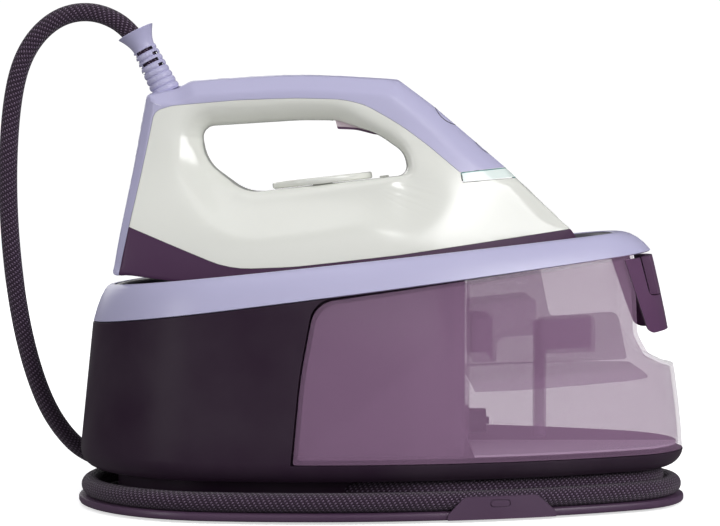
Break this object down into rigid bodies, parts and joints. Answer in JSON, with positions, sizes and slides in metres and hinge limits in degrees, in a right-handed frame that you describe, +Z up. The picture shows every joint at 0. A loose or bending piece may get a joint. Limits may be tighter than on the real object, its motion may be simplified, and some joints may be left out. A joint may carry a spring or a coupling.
{
  "type": "steam generator iron",
  "caption": "Steam generator iron: an iron resting on a tilted base with a translucent front water tank, and a braided steam hose wound under the base.",
  "frame": {"origin": "under the middle of the base, on the surface it stands on; the free steam hose is left out of the middle", "axes": "+X to the nose of iron and tank, +Y to the far side, where the hose goes down, +Z up"},
  "size_m": [0.4116, 0.2002, 0.2989],
  "materials": {
    "plum_plastic": "satin moulded",
    "plum_plate": "satin moulded",
    "plum_handle": "glossy moulded",
    "lavender_plastic": "satin moulded",
    "white_plastic": "glossy moulded",
    "skirt_plastic": "glossy moulded",
    "tank_plastic": "clear tinted",
    "window_plastic": "frosted clear",
    "trigger_plastic": "clear tinted",
    "grey_plastic": "fine texture",
    "black_plastic": "matte",
    "hose_fabric": "braided",
    "rubber": "matte",
    "silicone": "matte",
    "sole_steel": "polished",
    "cast_aluminium": "as cast",
    "steel": "brushed",
    "brass": "machined",
    "board_green": "solder mask"
  },
  "bodies": {
    "root": {"base_plate": "plum_plate", "rubber_feet": "rubber", "channel_core": "plum_plastic", "base_screws": "steel", "hose_gland": "brass", "rear_housing": "plum_plastic", "top_ring": "lavender_plastic", "iron_rest_deck": "grey_plastic", "rest_pads": "silicone", "boiler_body": "steel", "boiler_cover": "steel", "boiler_heater": "steel", "boiler_brackets": "black_plastic", "boiler_gasket": "silicone", "boiler_thermostat": "steel", "safety_valve": "brass", "steam_valve_body": "brass", "steam_valve_coil": "black_plastic", "pump_body": "white_plastic", "pump_coil": "steel", "pump_mounts": "rubber", "control_board": "board_green", "board_components": "black_plastic", "water_pipe": "silicone", "steam_pipe": "silicone", "feed_hose": "silicone", "mains_cord_gland": "rubber", "descale_socket": "brass", "tank_dock_pipe": "black_plastic", "steam_hose": "hose_fabric"},
    "descale_plug": {"descale_cap": "black_plastic"},
    "tank": {"water_tank": "tank_plastic", "tank_cover": "tank_plastic", "fill_door": "tank_plastic", "tank_baffle": "tank_plastic", "suction_tube": "tank_plastic", "filter_box": "tank_plastic", "tank_valve": "black_plastic", "tank_handle": "plum_handle"},
    "valve_poppet": {"tank_valve_poppet": "black_plastic"},
    "release_button": {"tank_release_button": "plum_handle"},
    "iron": {"soleplate": "sole_steel", "sole_casting": "cast_aluminium", "sole_heating_element": "steel", "steam_chamber_cover": "steel", "iron_thermostat": "steel", "skirt": "skirt_plastic", "iron_body": "white_plastic", "top_cover": "lavender_plastic", "heel_cover": "lavender_plastic", "light_window": "window_plastic", "dial_pointer": "white_plastic", "trigger_pin": "steel", "micro_switch": "black_plastic", "iron_board": "board_green", "hose_strain_relief": "lavender_plastic"},
    "dial": {"temperature_dial": "white_plastic"},
    "trigger": {"steam_trigger": "trigger_plastic"},
    "boost_button": {"steam_boost_button": "lavender_plastic"},
    "mode_button_cap": {"mode_button": "lavender_plastic"}
  },
  "joints": [
    {"name": "iron_lift", "type": "slide", "parent": "root", "child": "iron", "axis": [-0.1106, 0, 0.9939], "range_m": [0, 0.06], "deforming": ["steam_hose"]},
    {"name": "tank_slide", "type": "slide", "parent": "root", "child": "tank", "axis": [1, 0, 0], "range_m": [0, 0.245]},
    {"name": "release_press", "type": "slide", "parent": "tank", "child": "release_button", "axis": [-1, 0, 0], "range_m": [0, 0.003], "stiffness_N_per_m": 900},
    {"name": "valve_slide", "type": "slide", "parent": "tank", "child": "valve_poppet", "axis": [1, 0, 0], "range_m": [0, 0.003], "stiffness_N_per_m": 200},
    {"name": "descale_turn", "type": "hinge", "parent": "root", "child": "descale_plug", "pos_m": [-0.084, 0.0945, 0.052], "axis": [0, 1, 0], "range_deg": [0, 90]},
    {"name": "dial_turn", "type": "hinge", "parent": "iron", "child": "dial", "pos_m": [-0.03539, 0, 0.19215], "axis": [-0.1106, 0, 0.9939], "range_deg": [0, 270]},
    {"name": "trigger_pull", "type": "hinge", "parent": "iron", "child": "trigger", "pos_m": [-0.00235, 0, 0.2234], "axis": [0, 1, 0], "range_deg": [0, 6], "stiffness_Nm_per_rad": 0.8},
    {"name": "boost_press", "type": "slide", "parent": "iron", "child": "boost_button", "axis": [-0.6491, 0, -0.7607], "range_m": [0, 0.0012], "stiffness_N_per_m": 600},
    {"name": "mode_press", "type": "slide", "parent": "iron", "child": "mode_button_cap", "axis": [-0.6491, 0, -0.7607], "range_m": [0, 0.0012], "stiffness_N_per_m": 600}
  ]
}
